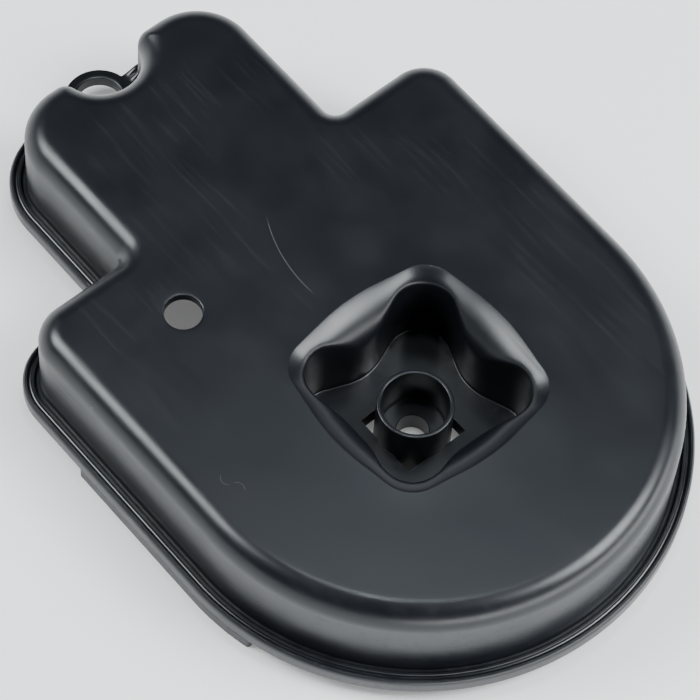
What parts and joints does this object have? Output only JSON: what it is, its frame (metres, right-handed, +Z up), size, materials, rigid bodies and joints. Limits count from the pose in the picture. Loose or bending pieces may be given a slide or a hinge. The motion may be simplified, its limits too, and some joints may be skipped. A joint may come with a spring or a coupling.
{
  "type": "air filter housing",
  "caption": "Small-engine air filter housing: lift-off moulded cover with a lobed bolt well, eyelet and open neck, over a filter panel and a base tray with an outlet.",
  "frame": {"origin": "on the centre bolt's axis, at the plane that the tray and the centre tube's foot rest on", "axes": "+X towards the round end, along the longest extent; the neck points along -X; +Z up, along the bolts"},
  "size_m": [0.1716, 0.1174, 0.0276],
  "materials": {
    "black_plastic": "satin black moulded polypropylene with fine scuffs",
    "tray_plastic": "fine matt black moulded plastic",
    "rubber": "soft black rubber",
    "filter_rubber": "cast polyurethane, matt dark grey",
    "wire": "woven steel wire",
    "paper": "resin-treated filter paper",
    "foam": "open-cell foam, oiled dark grey",
    "gasket": "pressed fibre gasket",
    "steel": "zinc-plated steel"
  },
  "bodies": {
    "cover": {"cover_shell": "black_plastic"},
    "filter": {"filter_rim": "filter_rubber", "filter_core": "filter_rubber", "filter_mesh": "wire", "filter_pleats": "paper", "foam_precleaner": "foam"},
    "tray": {"base_tray": "tray_plastic", "rim_seal": "rubber", "support_grid": "tray_plastic", "breather_nipple": "tray_plastic", "drain_plug": "rubber", "outlet_gasket": "gasket", "outlet_collar": "rubber", "backfire_screen": "wire", "screen_retainer": "tray_plastic", "retainer_screw_1": "steel", "retainer_screw_2": "steel", "retainer_screw_3": "steel", "retainer_screw_4": "steel", "stud_bush_1": "steel", "stud_bush_2": "steel"}
  },
  "joints": [
    {"name": "cover_lift", "type": "slide", "parent": "tray", "child": "cover", "axis": [0, 0, 1], "range_m": [0, 0.06]},
    {"name": "filter_lift", "type": "slide", "parent": "tray", "child": "filter", "axis": [0, 0, 1], "range_m": [0, 0.024]}
  ],
  "couplings": [
    {"joint": "filter_lift", "follows": "cover_lift", "ratio": 0.4}
  ]
}
